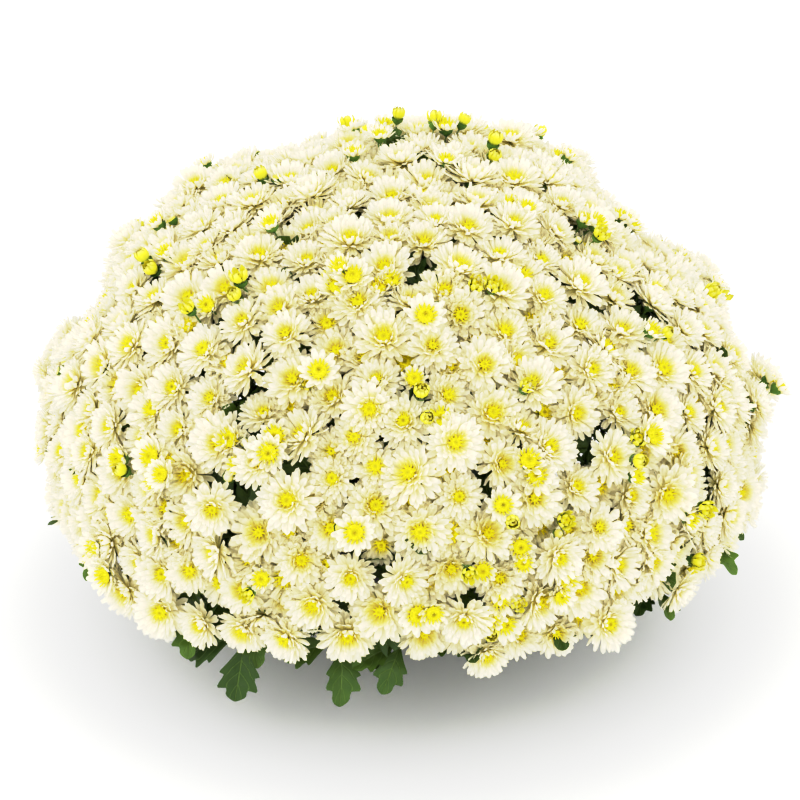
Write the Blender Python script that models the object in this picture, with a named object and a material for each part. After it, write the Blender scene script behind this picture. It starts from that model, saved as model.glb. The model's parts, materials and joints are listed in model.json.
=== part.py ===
"""Pot chrysanthemum: a dome of daisy heads on five leafy plants, in a plain nursery pot.

Metres, +Z up. The origin is the middle of the pot's flat base, on the surface it stands on.
The heads sit on thin curved cores, one for each spray, which the stems carry from below.
"""

import math

import bpy
import numpy as np
from mathutils import Matrix, Vector
from mathutils.geometry import delaunay_2d_cdt

# Dome of flowers: a spheroid through the petal tips
DOME_RADIUS = 0.300
DOME_RISE = 0.252
DOME_MIDDLE_Z = 0.150
CORE_EDGE_Z = 0.112
LOWEST_HEAD_Z = 0.121

# Flower heads
OPEN_HEADS = 434
YOUNG_HEADS = 66
OPEN_RADIUS = (0.0164, 0.0200)
YOUNG_RADIUS = (0.0068, 0.0084)
HEAD_CLEARANCE = 0.0012
HEAD_TILT = math.radians(5)
PETALS = 5
VALLEY_SHARE = 0.60
VALLEY_DROP = 0.0050
EYE_RISE = 0.0030
TIP_DEPTH = (0.0010, 0.0040)
NECK_RADIUS = 0.0032
NECK_SIDES = 3
YOUNG_SIDES = 4
YOUNG_TOP_DEPTH = 0.0020
YOUNG_SHOULDER_DROP = 0.0045
SPREAD_ROUNDS = 90
SPREAD_SHARE = 0.4

# Cores of the sprays, as depths below the petal tips
CORE_OUTER_DEPTH = 0.0225
CORE_INNER_DEPTH = 0.0285
CORE_MIDDLE_DEPTH = 0.0300
CORE_GAP = 0.0008
RING_SPRAYS = (1, 5, 10, 10)
RING_EDGE_SEGMENTS = (0, 10, 20, 30, 30)
EDGE_MARGIN_ABOVE = 0.0095
EDGE_MARGIN = 0.0070

# Plants
PLANTS = 5
STEM_CIRCLE = 0.052
STEM_RADIUS = 0.0055
STEM_SIDES = 6
STEM_TOP_Z = 0.172
FORK_Z = 0.155
FORK_STEP = 0.0022
BRANCH_RADII = (0.0036, 0.0033, 0.0029, 0.0026)
BRANCH_SIDES = 3
SHOOT_SIDES = 4
BRANCH_END_RUN = 0.030
BRANCH_END_GAP = 0.0008
BRANCH_BEND = 0.45
LOW_BRANCH_RISE = 0.025

# Leaves: half outline along the leaf and across it, as shares of its length and width
LEAF_HALF_OUTLINE = ((0.0, 0.03), (0.34, 0.065), (0.50, 0.50), (0.63, 0.27), (0.80, 0.42))
LEAF_MIDDLE = 0.60
LEAF_THICKNESS = 0.0024
LEAF_WIDTH = 0.040
SHOOT_RADIUS = 0.0021
SHOOT_FROM = 0.62
SHOOT_END = (0.224, 0.124)
SKIRT_LEAF_BEND = (0.256, 0.107)
SKIRT_LEAF_TIP = (0.289, 0.086)
SKIRT_LEAF_TURNS = (-11.5, 0.0, 11.5)
SKIRT_LEAF_FROM = 0.84
SKIRT_LEAF_STEP = 0.05
SKIRT_BEND_TURN = 0.75
UPPER_LEAF_LENGTH = 0.050
UPPER_LEAF_FROM = 0.55
UPPER_LEAF_LEAN = 0.8
UPPER_LEAF_ARCH = 0.12

# Pot and soil
POT_HEIGHT = 0.155
POT_RIM_RADIUS = 0.125
POT_RIM_DEPTH = 0.018
POT_RIM_LIP = 0.0045
POT_BASE_RADIUS = 0.088
POT_WALL = 0.0020
POT_FLOOR = 0.0025
POT_SIDES = 24
POT_CHAMFER = 0.0015
DRAIN_HOLES = 4
DRAIN_SIDES = 6
DRAIN_HOLE_RADIUS = 0.007
DRAIN_CIRCLE = 0.058
SOIL_TOP_Z = 0.138
SOIL_GAP = 0.00035
STEM_HOLE_GAP = 0.0004
STEM_HOLE_BOTTOM_Z = 0.100

SEED = 27


class Body:
    """Points and triangles of one solid, gathered before its mesh is made."""

    def __init__(self):
        self.points = []
        self.faces = []

    def add(self, points):
        first = len(self.points)
        self.points.extend(Vector(point) for point in points)
        return list(range(first, len(self.points)))

    def fan(self, middle, ring):
        for here, after in zip(ring, ring[1:] + ring[:1]):
            self.faces.append((middle, here, after))

    def band(self, low, high):
        """Joins a ring to one above it that has as many points, or more."""
        count = len(high)
        for j in range(count):
            here = high[j]
            after = high[(j + 1) % count]
            owner = low[round(j * len(low) / count) % len(low)]
            next_owner = low[round((j + 1) * len(low) / count) % len(low)]
            self.faces.append((owner, after, here))
            if owner != next_owner:
                self.faces.append((owner, next_owner, after))

    def make(self, name, finish):
        mesh = bpy.data.meshes.new(name)
        mesh.from_pydata(self.points, [], self.faces)
        return link(name, mesh, finish)


def link(name, mesh, finish):
    thing = bpy.data.objects.new(name, mesh)
    thing.data.materials.clear()
    thing.data.materials.append(finish)
    bpy.context.collection.objects.link(thing)
    return thing


def material(name, colour, roughness):
    made = bpy.data.materials.new(name)
    made.use_nodes = True
    shader = made.node_tree.nodes["Principled BSDF"]
    shader.inputs["Base Color"].default_value = (*colour, 1.0)
    shader.inputs["Roughness"].default_value = roughness
    shader.inputs["Metallic"].default_value = 0.0
    return made


# The dome's surface

def dome_point(height, turn, depth):
    """Point below the petal tips: height is the sine of the latitude, turn the azimuth."""
    level = math.sqrt(max(0.0, 1.0 - height * height))
    across = (DOME_RADIUS - depth) * level
    up = DOME_MIDDLE_Z + (DOME_RISE - depth) * height
    return Vector((across * math.cos(turn), across * math.sin(turn), up))


def dome_frame(height, turn):
    """Outward direction there, with two directions along the surface."""
    level = math.sqrt(max(0.0, 1.0 - height * height))
    out = Vector((level * math.cos(turn) / DOME_RADIUS, level * math.sin(turn) / DOME_RADIUS,
                  height / DOME_RISE)).normalized()
    east = Vector((-math.sin(turn), math.cos(turn), 0.0))
    return out, east, out.cross(east)


def ring_edges():
    """Heights of the lines between the rings of sprays, which share the dome's area out."""
    lowest = (CORE_EDGE_Z - DOME_MIDDLE_Z) / DOME_RISE
    edges = [1.0]
    for count in RING_SPRAYS:
        edges.append(edges[-1] - (1.0 - lowest) * count / sum(RING_SPRAYS))
    return edges


# Places of the heads

def start_sites(count):
    """Golden-angle spiral over the dome, as unit directions."""
    lowest = (LOWEST_HEAD_Z - DOME_MIDDLE_Z) / DOME_RISE
    golden = math.pi * (3.0 - math.sqrt(5.0))
    order = np.arange(count)
    height = 1.0 - (1.0 - lowest) * (order + 0.5) / count
    level = np.sqrt(1.0 - height ** 2)
    return np.stack([level * np.cos(golden * order), level * np.sin(golden * order), height], 1)


def clear_of_edges(units):
    """Moves heads off the lines between the sprays, so that each neck stands on one core."""
    lowest = (LOWEST_HEAD_Z - DOME_MIDDLE_Z) / DOME_RISE
    latitude = np.arcsin(np.clip(units[:, 2], lowest, 1.0))
    turn = np.arctan2(units[:, 1], units[:, 0]) % math.tau
    edges = ring_edges()
    above = EDGE_MARGIN_ABOVE / DOME_RADIUS
    below = EDGE_MARGIN / DOME_RADIUS
    for edge in np.arcsin(edges[1:-1]):
        from_edge = latitude - edge
        latitude = np.where((from_edge >= 0) & (from_edge < above), edge + above, latitude)
        latitude = np.where((from_edge < 0) & (from_edge > -below), edge - below, latitude)
    height = np.sin(latitude)
    for ring, count in enumerate(RING_SPRAYS):
        if count > 1:
            inside = (height < edges[ring]) & (height >= edges[ring + 1])
            step = math.tau / count
            margin = EDGE_MARGIN / (DOME_RADIUS * np.cos(latitude))
            within = np.clip(turn % step, margin, step - margin)
            turn = np.where(inside, turn // step * step + within, turn)
    level = np.cos(latitude)
    return np.stack([level * np.cos(turn), level * np.sin(turn), height], 1)


def spread(units, radii):
    """Pushes heads apart until their rims clear one another, then trims what still meets."""
    scale = np.array([DOME_RADIUS, DOME_RADIUS, DOME_RISE])
    wanted = radii[:, None] + radii[None, :] + HEAD_CLEARANCE
    np.fill_diagonal(wanted, 0.0)
    for _ in range(SPREAD_ROUNDS):
        places = units * scale
        apart = places[:, None, :] - places[None, :, :]
        distance = np.linalg.norm(apart, axis=2) + np.eye(len(units))
        short = np.clip(wanted - distance, 0.0, None)
        push = (apart / distance[:, :, None] * short[:, :, None]).sum(axis=1) * SPREAD_SHARE
        moved = (places + push) / scale
        units = clear_of_edges(moved / np.linalg.norm(moved, axis=1)[:, None])
    places = units * scale
    distance = np.linalg.norm(places[:, None, :] - places[None, :, :], axis=2)
    np.fill_diagonal(distance, np.inf)
    share = (distance - HEAD_CLEARANCE) / (radii[:, None] + radii[None, :])
    return units, radii * np.minimum(1.0, share.min(axis=1))


def place_heads(rng):
    """All heads as (ring, spray in ring, height, turn, radius, is it young)."""
    count = OPEN_HEADS + YOUNG_HEADS
    young = np.zeros(count, bool)
    young[rng.choice(count, YOUNG_HEADS, replace=False)] = True
    radii = np.where(young, rng.uniform(*YOUNG_RADIUS, count), rng.uniform(*OPEN_RADIUS, count))
    units, radii = spread(start_sites(count), radii)
    edges = ring_edges()
    heads = []
    for unit, radius, is_young in zip(units, radii, young):
        height = float(unit[2])
        turn = math.atan2(unit[1], unit[0]) % math.tau
        ring = next(r for r in range(len(RING_SPRAYS)) if height >= edges[r + 1])
        spray = int(turn // (math.tau / RING_SPRAYS[ring]))
        heads.append((ring, spray, height, turn, float(radius), bool(is_young)))
    return heads


# One spray: a thin core with its heads

def spray_outline(ring, spray):
    """Heights and turns of the core's edge points, anticlockwise from outside."""
    edges = ring_edges()
    top, bottom = edges[ring], edges[ring + 1]
    count = RING_SPRAYS[ring]
    low_steps = RING_EDGE_SEGMENTS[ring + 1] // count
    if count == 1:
        return [(bottom, math.tau * k / low_steps) for k in range(low_steps)]
    high_steps = RING_EDGE_SEGMENTS[ring] // count
    step = math.tau / count
    first = spray * step
    middle = math.sin((math.asin(top) + math.asin(bottom)) / 2)
    low = [(bottom, first + step * k / low_steps) for k in range(low_steps + 1)]
    high = [(top, first + step * k / high_steps) for k in range(high_steps, -1, -1)]
    return low + [(middle, first + step)] + high + [(middle, first)]


def spray_middle(ring, spray):
    """Height and turn of the core's middle."""
    if RING_SPRAYS[ring] == 1:
        return 1.0, 0.0
    edges = ring_edges()
    latitude = (math.asin(edges[ring]) + math.asin(edges[ring + 1])) / 2
    return math.sin(latitude), math.tau / RING_SPRAYS[ring] * (spray + 0.5)


def drawn_in(points, middle):
    """Edge points moved a little towards the middle, which opens the gap between sprays."""
    return [point + (middle - point).normalized() * CORE_GAP for point in points]


def head_frame(height, turn, rng):
    """Matrix with its origin on the core, +Z along the head's leaning axis."""
    out, east, north = dome_frame(height, turn)
    lean = rng.uniform(0.0, HEAD_TILT)
    lean_turn = rng.uniform(0.0, math.tau)
    roll = rng.uniform(0.0, math.tau)
    upright = Matrix((east, north, out)).transposed().to_4x4()
    place = Matrix.Translation(dome_point(height, turn, CORE_OUTER_DEPTH))
    return place @ upright, Matrix.Rotation(roll, 4, "Z"), lean, lean_turn


def circle(radius, up, count, first=0.0):
    """Points round the Z axis."""
    turns = [first + math.tau * k / count for k in range(count)]
    return [Vector((radius * math.cos(t), radius * math.sin(t), up)) for t in turns]


def open_head(body, neck, place, radius, rim):
    """Pointed petals round a raised eye, on an underside that narrows to the neck."""
    tips = circle(radius, rim, PETALS)
    valleys = circle(radius * VALLEY_SHARE, rim - VALLEY_DROP, PETALS, math.pi / PETALS)
    tip_ids = body.add(place @ tip for tip in tips)
    valley_ids = body.add(place @ valley for valley in valleys)
    eye = body.add([place @ Vector((0.0, 0.0, rim - VALLEY_DROP + EYE_RISE))])[0]
    rim_ids = [point for pair in zip(tip_ids, valley_ids) for point in pair]
    for k in range(PETALS):
        body.faces.append((valley_ids[k - 1], tip_ids[k], valley_ids[k]))
    body.fan(eye, valley_ids)
    body.band(neck, rim_ids)


def young_head(body, neck, place, radius):
    """A closed cup that comes to a low point."""
    top = CORE_OUTER_DEPTH - YOUNG_TOP_DEPTH
    shoulder = circle(radius, top - YOUNG_SHOULDER_DROP, YOUNG_SIDES)
    shoulder_ids = body.add(place @ point for point in shoulder)
    peak = body.add([place @ Vector((0.0, 0.0, top))])[0]
    body.fan(peak, shoulder_ids)
    body.band(neck, shoulder_ids)


def core_top(body, outline, necks, axes, origin):
    """Outer face of the core: triangles between its edge and the necks, which stay open."""
    def flat(index):
        offset = body.points[index] - origin
        return Vector((offset.dot(axes[0]), offset.dot(axes[1])))

    ids = outline + [point for neck in necks for point in neck]
    sheet = [flat(index) for index in ids]
    regions = [list(range(len(outline)))]
    for k in range(len(necks)):
        first = len(outline) + k * NECK_SIDES
        regions.append(list(range(first, first + NECK_SIDES)))
    made = delaunay_2d_cdt(sheet, [], regions, 1, 1e-9, True)
    faces, sources, face_regions = made[2], made[3], made[5]
    for face, region in zip(faces, face_regions):
        if region == [0]:
            body.faces.append(tuple(ids[sources[point][0]] for point in face))


def make_spray(name, ring, spray, heads, finish, rng):
    """One core with all its heads, as one solid."""
    body = Body()
    height, turn = spray_middle(ring, spray)
    outline = spray_outline(ring, spray)
    middle_out = dome_point(height, turn, CORE_OUTER_DEPTH)
    middle_in = dome_point(height, turn, CORE_INNER_DEPTH)
    outer = drawn_in([dome_point(h, t, CORE_OUTER_DEPTH) for h, t in outline], middle_out)
    inner = drawn_in([dome_point(h, t, CORE_INNER_DEPTH) for h, t in outline], middle_in)
    outer_ids = body.add(outer)
    inner_ids = body.add(inner)
    core_middle = body.add([dome_point(height, turn, CORE_MIDDLE_DEPTH)])[0]
    body.band(inner_ids, outer_ids)
    body.fan(core_middle, inner_ids[::-1])
    necks = []
    for _, _, head_height, head_turn, radius, is_young in heads:
        place, roll, lean, lean_turn = head_frame(head_height, head_turn, rng)
        neck = body.add(place @ roll @ point for point in circle(NECK_RADIUS, 0.0, NECK_SIDES))
        necks.append(neck)
        leaning = place @ Matrix.Rotation(lean_turn, 4, "Z") @ Matrix.Rotation(lean, 4, "Y")
        leaning = leaning @ Matrix.Rotation(-lean_turn, 4, "Z") @ roll
        if is_young:
            young_head(body, neck, leaning, radius)
        else:
            rim = CORE_OUTER_DEPTH - rng.uniform(*TIP_DEPTH)
            open_head(body, neck, leaning, radius, rim)
    _, east, north = dome_frame(height, turn)
    core_top(body, outer_ids, necks, (east, north), middle_out)
    return body.make(name, finish)


def make_sprays(finish):
    rng = np.random.default_rng(SEED)
    heads = place_heads(rng)
    number = 0
    for ring, count in enumerate(RING_SPRAYS):
        for spray in range(count):
            number += 1
            own = [head for head in heads if head[0] == ring and head[1] == spray]
            make_spray(f"spray_{number:02d}", ring, spray, own, finish, rng)


# Plants: a stem, branches, shoots and leaves, joined in one solid each

def tube(points, radii, sides, finish, name):
    """Closed tube through a few points, with flat ends square to its end runs."""
    body = Body()
    runs = [(after - here).normalized() for here, after in zip(points, points[1:])]
    side = runs[0].orthogonal().normalized()
    rings = []
    for k, (point, radius) in enumerate(zip(points, radii)):
        along = (runs[max(0, k - 1)] + runs[min(k, len(runs) - 1)]).normalized()
        side = (side - along * side.dot(along)).normalized()
        across = along.cross(side)
        ring = circle(radius, 0.0, sides)
        rings.append(body.add(point + side * p.x + across * p.y for p in ring))
    for low, high in zip(rings, rings[1:]):
        body.band(low, high)
    body.fan(body.add([points[0]])[0], rings[0][::-1])
    body.fan(body.add([points[-1]])[0], rings[-1])
    return body.make(name, finish)


def leaf(root, bend, tip, side, finish, name):
    """Lobed blade on a stalk, bent from root to tip, thickest along its middle."""
    def at(along, across):
        back = 1.0 - along
        place = root * back * back + bend * 2 * back * along + tip * along * along
        return place + side * across * LEAF_WIDTH

    body = Body()
    right = [at(along, -across) for along, across in LEAF_HALF_OUTLINE]
    left = [at(along, across) for along, across in reversed(LEAF_HALF_OUTLINE)]
    edge = body.add(right + [tip] + left)
    middle = at(LEAF_MIDDLE, 0.0)
    run = (bend - root) * (1.0 - LEAF_MIDDLE) + (tip - bend) * LEAF_MIDDLE
    up = run.cross(side).normalized() * (LEAF_THICKNESS / 2)
    top, under = body.add([middle + up, middle - up])
    body.fan(top, edge)
    body.fan(under, edge[::-1])
    return body.make(name, finish)


def polar(radius, turn, z):
    return Vector((radius * math.cos(turn), radius * math.sin(turn), z))


def branch_points(ring, spray, stem_turn, fork_z):
    """From the fork in the stem to just under the middle of the spray's core."""
    height, turn = spray_middle(ring, spray)
    out, _, _ = dome_frame(height, turn)
    start = polar(STEM_CIRCLE, stem_turn, fork_z)
    end = dome_point(height, turn, CORE_MIDDLE_DEPTH) - out * BRANCH_END_GAP
    near_end = end - out * BRANCH_END_RUN
    bend = start.lerp(near_end, BRANCH_BEND)
    if ring == len(RING_SPRAYS) - 1:
        bend.z += LOW_BRANCH_RISE
    return [start, bend, near_end, end]


def skirt_shoot(points, turn, finish, pieces):
    """Shoot that hangs from a low branch, with its fan of leaves below the dome's edge."""
    start = points[1].lerp(points[2], SHOOT_FROM)
    end = polar(SHOOT_END[0], turn, SHOOT_END[1])
    pieces.append(tube([start, end], [SHOOT_RADIUS] * 2, SHOOT_SIDES, finish, "shoot"))
    for k, degrees in enumerate(SKIRT_LEAF_TURNS):
        root = start.lerp(end, SKIRT_LEAF_FROM + SKIRT_LEAF_STEP * k)
        leaf_turn = turn + math.radians(degrees)
        bend = polar(SKIRT_LEAF_BEND[0], turn + math.radians(degrees) * SKIRT_BEND_TURN, SKIRT_LEAF_BEND[1])
        tip = polar(SKIRT_LEAF_TIP[0], leaf_turn, SKIRT_LEAF_TIP[1])
        side = Vector((-math.sin(leaf_turn), math.cos(leaf_turn), 0.0))
        pieces.append(leaf(root, bend, tip, side, finish, "leaf"))


def upper_leaf(points, turn, finish, pieces):
    """Leaf on an upper branch, under the dome."""
    root = points[1].lerp(points[2], UPPER_LEAF_FROM)
    along = (points[2] - points[1]).normalized()
    sideways = Vector((-math.sin(turn), math.cos(turn), 0.0))
    outward = (sideways + along * UPPER_LEAF_LEAN).normalized()
    tip = root + outward * UPPER_LEAF_LENGTH
    bend = root.lerp(tip, 0.5) + Vector((0.0, 0.0, UPPER_LEAF_LENGTH * UPPER_LEAF_ARCH))
    side = outward.cross(Vector((0.0, 0.0, 1.0))).normalized()
    pieces.append(leaf(root, bend, tip, side, finish, "leaf"))


def join(name, pieces):
    """Unites a plant's pieces in one solid and drops the pieces."""
    group = bpy.data.collections.new(name)
    bpy.context.scene.collection.children.link(group)
    whole, rest = pieces[0], pieces[1:]
    for piece in rest:
        bpy.context.collection.objects.unlink(piece)
        group.objects.link(piece)
    union = whole.modifiers.new("union", "BOOLEAN")
    union.operation = "UNION"
    union.operand_type = "COLLECTION"
    union.collection = group
    bpy.context.view_layer.update()
    united = bpy.data.meshes.new_from_object(whole.evaluated_get(bpy.context.evaluated_depsgraph_get()))
    whole.modifiers.clear()
    whole.data = united
    whole.name = name
    for piece in rest:
        bpy.data.objects.remove(piece)
    bpy.data.collections.remove(group)


def own_sprays(number):
    """The sprays that one plant carries: those of its sector, and the top one for the first."""
    own = [(0, 0)] if number == 0 else []
    for ring, count in enumerate(RING_SPRAYS[1:], start=1):
        share = count // PLANTS
        own += [(ring, spray) for spray in range(number * share, (number + 1) * share)]
    return own


def make_plant(number, finish):
    """One plant: its stem, a branch to each of its sprays, and its leaves."""
    sector = math.tau / PLANTS
    stem_turn = sector * (number + 0.5)
    foot = polar(STEM_CIRCLE, stem_turn, STEM_HOLE_BOTTOM_Z + STEM_HOLE_GAP)
    top = polar(STEM_CIRCLE, stem_turn, STEM_TOP_Z)
    pieces = [tube([foot, top], [STEM_RADIUS] * 2, STEM_SIDES, finish, "stem")]
    for step, (ring, spray) in enumerate(own_sprays(number)):
        points = branch_points(ring, spray, stem_turn, FORK_Z + FORK_STEP * step)
        pieces.append(tube(points, BRANCH_RADII, BRANCH_SIDES, finish, "branch"))
        _, turn = spray_middle(ring, spray)
        if ring == len(RING_SPRAYS) - 1:
            skirt_shoot(points, turn, finish, pieces)
        elif ring == 1:
            upper_leaf(points, turn, finish, pieces)
    join(f"plant_{number + 1}", pieces)


# Pot and soil

def turned_body(name, profile, sides, finish):
    """Turns a profile of (radius, height) points, listed down its outer side, about Z."""
    mesh = bpy.data.meshes.new(name)
    points = [(radius, 0.0, z) for radius, z in profile]
    mesh.from_pydata(points, [(k, k + 1) for k in range(len(points) - 1)], [])
    thing = link(name, mesh, finish)
    screw = thing.modifiers.new("turn", "SCREW")
    screw.steps = sides
    screw.render_steps = sides
    screw.use_merge_vertices = True
    screw.merge_threshold = 0.0001
    return thing


def cut(thing, cutter, number):
    cutter.hide_render = True
    cutter.display_type = "WIRE"
    hole = thing.modifiers.new(f"hole {number}", "BOOLEAN")
    hole.operation = "DIFFERENCE"
    hole.object = cutter


def prism(name, place, radius, sides, low, high, finish):
    """Upright prism used as a cutter."""
    ends = [Vector((place.x, place.y, low)), Vector((place.x, place.y, high))]
    return tube(ends, [radius] * 2, sides, finish, name)


def pot_wall_radius(z):
    """Outer radius of the pot's wall at a height."""
    top = POT_RIM_RADIUS - POT_RIM_LIP
    return POT_BASE_RADIUS + (top - POT_BASE_RADIUS) * z / POT_HEIGHT


def make_pot(finish):
    rim_low = POT_HEIGHT - POT_RIM_DEPTH
    profile = [
        (0.0, POT_FLOOR),
        (pot_wall_radius(POT_FLOOR) - POT_WALL, POT_FLOOR),
        (pot_wall_radius(POT_HEIGHT) - POT_WALL, POT_HEIGHT),
        (POT_RIM_RADIUS - POT_CHAMFER, POT_HEIGHT),
        (POT_RIM_RADIUS, POT_HEIGHT - POT_CHAMFER),
        (POT_RIM_RADIUS, rim_low),
        (pot_wall_radius(rim_low), rim_low),
        (POT_BASE_RADIUS, 0.0),
        (0.0, 0.0),
    ]
    pot = turned_body("pot", profile, POT_SIDES, finish)
    for k in range(DRAIN_HOLES):
        place = polar(DRAIN_CIRCLE, math.tau * (k + 0.5) / DRAIN_HOLES, 0.0)
        cutter = prism(f"drain_cutter_{k + 1}", place, DRAIN_HOLE_RADIUS, DRAIN_SIDES,
                       -POT_FLOOR, 2 * POT_FLOOR, finish)
        cut(pot, cutter, k + 1)


def make_soil(finish):
    low = POT_FLOOR + SOIL_GAP
    inset = POT_WALL + SOIL_GAP
    profile = [
        (0.0, SOIL_TOP_Z),
        (pot_wall_radius(SOIL_TOP_Z) - inset, SOIL_TOP_Z),
        (pot_wall_radius(low) - inset, low),
        (0.0, low),
    ]
    soil = turned_body("soil", profile, POT_SIDES, finish)
    for k in range(PLANTS):
        place = polar(STEM_CIRCLE, math.tau / PLANTS * (k + 0.5), 0.0)
        cutter = prism(f"stem_hole_cutter_{k + 1}", place, STEM_RADIUS + STEM_HOLE_GAP,
                       STEM_SIDES, STEM_HOLE_BOTTOM_Z, SOIL_TOP_Z + POT_WALL, finish)
        cut(soil, cutter, k + 1)


def main():
    for thing in list(bpy.data.objects):
        bpy.data.objects.remove(thing)
    make_pot(material("black plastic", (0.030, 0.030, 0.034), 0.45))
    make_soil(material("dark soil", (0.045, 0.030, 0.020), 0.95))
    leaf_green = material("leaf green", (0.060, 0.130, 0.030), 0.55)
    for number in range(PLANTS):
        make_plant(number, leaf_green)
    make_sprays(material("cream petals", (0.900, 0.860, 0.660), 0.60))


main()
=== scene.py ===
# %% [markdown]
# # A pot chrysanthemum, built up from one petal
# An autumn pot chrysanthemum is five young plants in one nursery pot, pinched back so often
# that they end in about a thousand small daisies, which close into one dome of flowers.
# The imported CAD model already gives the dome, the pot and the stems at their real size.
# This lesson keeps that frame and grows the real surface on it: petals, eyes, buds, stalks,
# lobed leaves, a moulded pot and loose soil.

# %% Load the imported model
import json
import math

import bmesh
import bpy
import numpy as np
from mathutils import Matrix, Vector, noise

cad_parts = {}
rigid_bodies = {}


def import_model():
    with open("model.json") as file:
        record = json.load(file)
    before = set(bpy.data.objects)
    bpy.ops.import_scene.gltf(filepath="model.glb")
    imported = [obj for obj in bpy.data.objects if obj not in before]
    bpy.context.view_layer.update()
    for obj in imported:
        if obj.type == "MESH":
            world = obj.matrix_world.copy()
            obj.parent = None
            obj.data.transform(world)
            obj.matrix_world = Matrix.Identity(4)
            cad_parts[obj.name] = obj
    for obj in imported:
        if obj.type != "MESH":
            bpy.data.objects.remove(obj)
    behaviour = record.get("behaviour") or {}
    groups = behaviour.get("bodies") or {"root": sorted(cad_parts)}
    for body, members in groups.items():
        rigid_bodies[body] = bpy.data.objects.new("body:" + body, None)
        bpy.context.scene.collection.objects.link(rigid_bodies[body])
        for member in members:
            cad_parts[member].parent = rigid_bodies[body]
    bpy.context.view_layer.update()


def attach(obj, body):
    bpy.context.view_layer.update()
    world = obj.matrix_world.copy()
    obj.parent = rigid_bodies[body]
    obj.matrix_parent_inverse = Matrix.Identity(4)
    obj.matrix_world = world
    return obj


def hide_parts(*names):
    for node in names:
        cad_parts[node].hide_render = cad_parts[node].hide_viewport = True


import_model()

# %% [markdown]
# ## Camera, light and floor
# The photograph looks down at the dome from about 27 degrees, through a long lens, and the
# plant is lit from all round, as on a white studio table. A long lens from 1.8 m gives the
# same flat perspective. A bright world fills the shade, and one large soft lamp up to the
# left gives the petals their form. The tone curve is the camera's: it lifts the middle tones,
# where the petals are, and keeps their highlights from burning out.

# %% Place the camera, the lamps and the floor


def aim(thing, target):
    """Turns a camera or lamp so that it looks at a point."""
    thing.rotation_euler = (Vector(target) - thing.location).to_track_quat("-Z", "Y").to_euler()


DOME_CENTRE_SEEN = (0.0, 0.0, 0.1764)
bpy.ops.object.camera_add(location=(0.0, -1.604, 0.967))
camera = bpy.context.object
aim(camera, DOME_CENTRE_SEEN)
camera.data.sensor_width = 36.0
camera.data.lens = 98.8
camera.data.shift_x = -0.0027
camera.data.clip_end = 60.0
bpy.context.scene.camera = camera

for place, size, watts in (((-1.1, -1.7, 1.6), 1.6, 8.0), ((1.6, -1.1, 1.2), 1.8, 3.0),
                           ((0.2, 1.7, 1.9), 1.8, 1.0)):
    bpy.ops.object.light_add(type="AREA", location=place)
    lamp = bpy.context.object
    lamp.data.shape = "DISK"
    lamp.data.size = size
    lamp.data.energy = watts
    aim(lamp, (0.0, 0.0, 0.2))

world = bpy.data.worlds.new("white studio")
world.use_nodes = True
world.node_tree.nodes["Background"].inputs["Color"].default_value = (1.0, 1.0, 1.0, 1.0)
world.node_tree.nodes["Background"].inputs["Strength"].default_value = 1.30
bpy.context.scene.world = world
view = bpy.context.scene.view_settings
view.view_transform = "Standard"
view.use_curve_mapping = True
tone_curve = view.curve_mapping.curves[3]
for shade, shown in ((0.15, 0.11), (0.37, 0.425), (0.54, 0.71), (0.72, 0.84), (0.90, 0.925)):
    tone_curve.points.new(shade, shown)
view.curve_mapping.update()

bpy.ops.mesh.primitive_plane_add(size=16.0, location=(0.0, 0.0, 0.0))
floor = bpy.context.object
floor.name = "studio_floor"
print("camera distance, m:", round((camera.location - Vector(DOME_CENTRE_SEEN)).length, 3))

# %% [markdown]
# ## Writing finishes as sums
# A finish in Blender is a net of nodes. Long nets are easier to read as sums, so one small
# class wraps a node's output and turns each Python operator into a Math node. Everything
# else, such as a noise or a colour ramp, comes from one method of the finish itself.

# %% A shader value that takes part in sums


class Value:
    """One output of a node, which Python operators join to others."""

    def __init__(self, finish, socket):
        self.finish = finish
        self.socket = socket

    def maths(self, operation, *others, clamp=False):
        inputs = dict(enumerate((self, *others)))
        settings = {"operation": operation, "use_clamp": clamp}
        return self.finish.node("ShaderNodeMath", settings, inputs)

    def __add__(self, other):
        return self.maths("ADD", other)

    def __sub__(self, other):
        return self.maths("SUBTRACT", other)

    def __rsub__(self, other):
        return (self * -1.0) + other

    def __mul__(self, other):
        return self.maths("MULTIPLY", other)

    __radd__ = __add__
    __rmul__ = __mul__

    def size(self):
        return self.maths("ABSOLUTE")

    def wave(self):
        return self.maths("SINE")

    def between(self, low, high):
        """0 below low, 1 above high, and a smooth step in between."""
        settings = {"interpolation_type": "SMOOTHSTEP"}
        return self.finish.node("ShaderNodeMapRange", settings, {0: self, 1: low, 2: high})


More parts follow.
